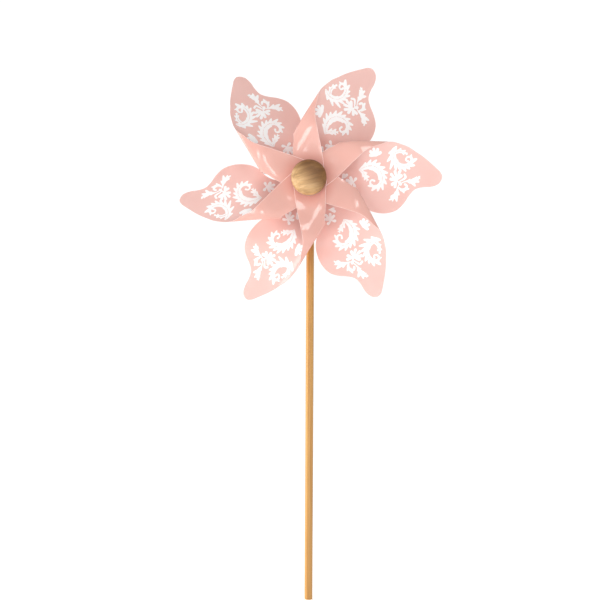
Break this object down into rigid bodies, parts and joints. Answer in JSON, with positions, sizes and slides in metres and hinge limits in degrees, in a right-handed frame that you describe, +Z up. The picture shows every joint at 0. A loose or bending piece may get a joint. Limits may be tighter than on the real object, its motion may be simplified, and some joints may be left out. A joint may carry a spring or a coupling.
{
  "type": "pinwheel",
  "caption": "Pinwheel on a round wooden stick: die-cut sheets rolled over to the front turn on a steel pin behind a domed wooden knob",
  "frame": {"origin": "middle of the stick's lower end", "axes": "+Z up along the stick, the rotor and knob face -Y, X across the rotor"},
  "size_m": [0.264, 0.0676, 0.5325],
  "materials": {
    "stick_wood": "satin clear-coated dowel",
    "pin_steel": "drawn steel pin",
    "bead_wood": "turned bead, plain",
    "washer_steel": "pressed steel washer",
    "knob_wood": "turned and sanded, matte",
    "hub_plastic": "moulded, slightly glossy",
    "blade_sheet": "pale pink coated sheet, glossy, printed in white"
  },
  "bodies": {
    "frame": {"stick": "stick_wood", "axle_pin": "pin_steel", "knob": "knob_wood"},
    "rotor": {"hub_sleeve": "hub_plastic", "spacer_tube": "hub_plastic", "front_ring": "hub_plastic", "blade_1": "blade_sheet", "blade_2": "blade_sheet", "blade_3": "blade_sheet", "blade_4": "blade_sheet", "blade_5": "blade_sheet", "blade_6": "blade_sheet"},
    "bead": {"rear_bead": "bead_wood"},
    "washer": {"front_washer": "washer_steel"}
  },
  "joints": [
    {"name": "rotor_spin", "type": "hinge", "parent": "frame", "child": "rotor", "pos_m": [0, 0, 0.415], "axis": [0, -1, 0], "continuous": true},
    {"name": "bead_spin", "type": "hinge", "parent": "frame", "child": "bead", "pos_m": [0, 0, 0.415], "axis": [0, -1, 0], "continuous": true},
    {"name": "washer_spin", "type": "hinge", "parent": "frame", "child": "washer", "pos_m": [0, 0, 0.415], "axis": [0, -1, 0], "continuous": true}
  ]
}
